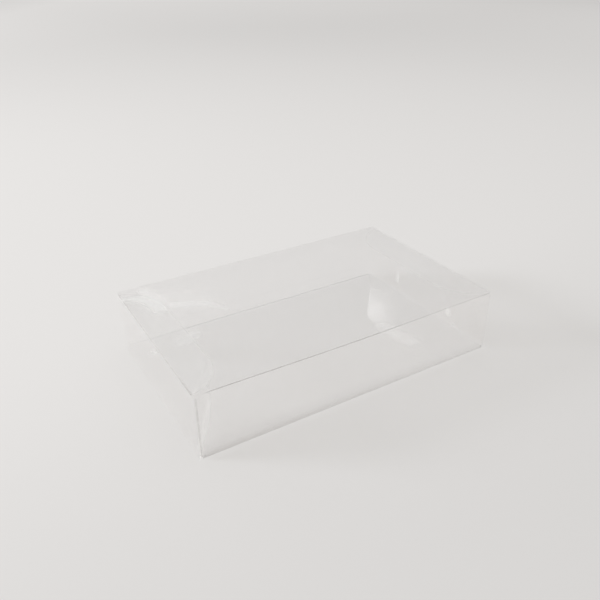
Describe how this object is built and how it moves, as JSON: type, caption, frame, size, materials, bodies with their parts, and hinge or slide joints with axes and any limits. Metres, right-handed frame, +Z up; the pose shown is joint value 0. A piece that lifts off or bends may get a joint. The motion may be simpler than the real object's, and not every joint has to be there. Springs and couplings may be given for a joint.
{
  "type": "clear folding carton",
  "caption": "Clear plastic folding carton, closed, with a hinged lid and a tuck flap at each end and dust flaps behind the lids.",
  "frame": {"origin": "middle of the face that the carton rests on", "axes": "+X along the length, +Y from the front side wall to the rear one, +Z up"},
  "size_m": [0.16, 0.1, 0.033],
  "materials": {
    "clear_sheet": "clear gloss"
  },
  "bodies": {
    "carton": {"carton_body": "clear_sheet"},
    "left_lid": {"left_lid": "clear_sheet"},
    "left_tuck_flap": {"left_tuck_flap": "clear_sheet"},
    "right_lid": {"right_lid": "clear_sheet"},
    "right_tuck_flap": {"right_tuck_flap": "clear_sheet"}
  },
  "joints": [
    {"name": "left_lid_fold", "type": "hinge", "parent": "carton", "child": "left_lid", "pos_m": [-0.07985, 0, 0.00015], "axis": [0, -1, 0], "range_deg": [0, 90]},
    {"name": "left_tuck_fold", "type": "hinge", "parent": "left_lid", "child": "left_tuck_flap", "pos_m": [-0.0797, 0, 0.032], "axis": [0, 1, 0], "range_deg": [0, 45]},
    {"name": "right_lid_fold", "type": "hinge", "parent": "carton", "child": "right_lid", "pos_m": [0.07985, 0, 0.00015], "axis": [0, 1, 0], "range_deg": [0, 90]},
    {"name": "right_tuck_fold", "type": "hinge", "parent": "right_lid", "child": "right_tuck_flap", "pos_m": [0.0797, 0, 0.032], "axis": [0, -1, 0], "range_deg": [0, 45]}
  ],
  "couplings": [
    {"joint": "left_tuck_fold", "follows": "left_lid_fold", "ratio": 0.5},
    {"joint": "right_tuck_fold", "follows": "right_lid_fold", "ratio": 0.5}
  ]
}
